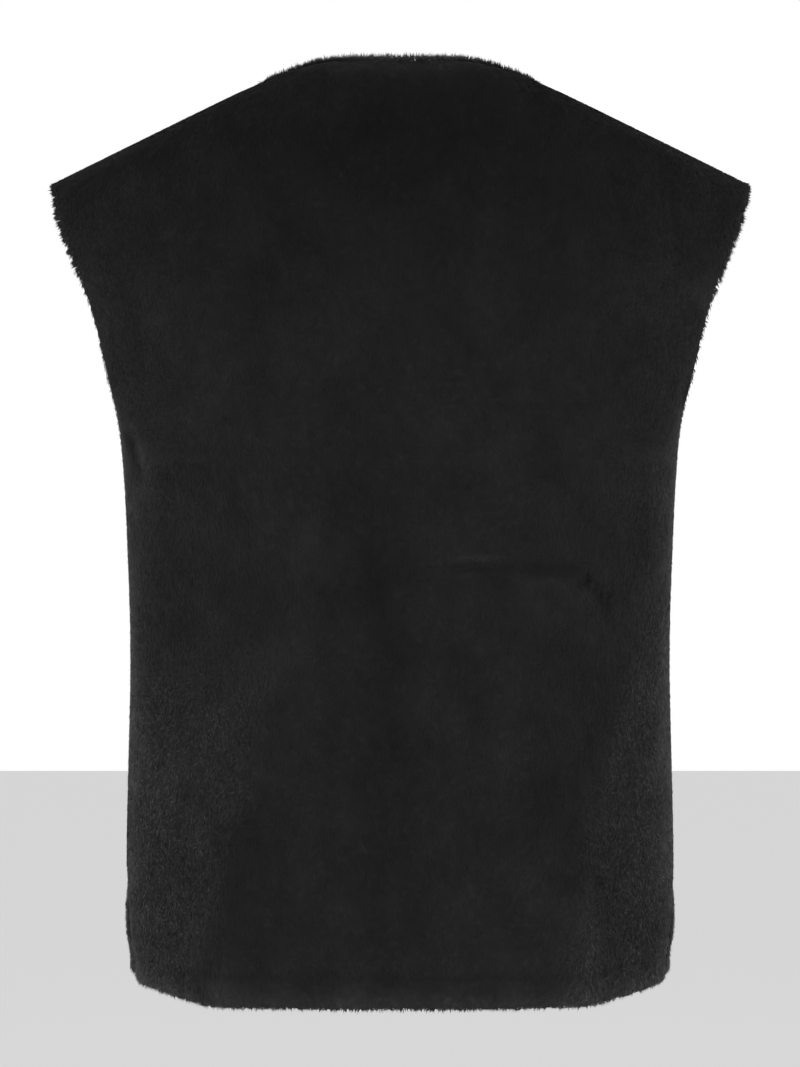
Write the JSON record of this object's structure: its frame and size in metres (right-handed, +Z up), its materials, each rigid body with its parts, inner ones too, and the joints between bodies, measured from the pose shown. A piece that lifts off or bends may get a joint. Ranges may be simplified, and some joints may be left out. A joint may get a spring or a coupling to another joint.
{
  "type": "faux fur vest",
  "caption": "Black short-pile faux fur vest, collarless and sleeveless with wide shoulders, filled out as worn, open down the centre front",
  "frame": {"origin": "middle of the neck opening, level with the neck ends of the shoulder seams, where the wearer holds the vest", "axes": "+Z up along the wearer, -Y towards the front, +X to the wearer's left"},
  "size_m": [0.4982, 0.2552, 0.6626],
  "materials": {
    "fur": "short dense black pile on a knitted backing"
  },
  "bodies": {
    "root": {"back": "fur", "front_left": "fur", "front_right": "fur"}
  },
  "joints": []
}
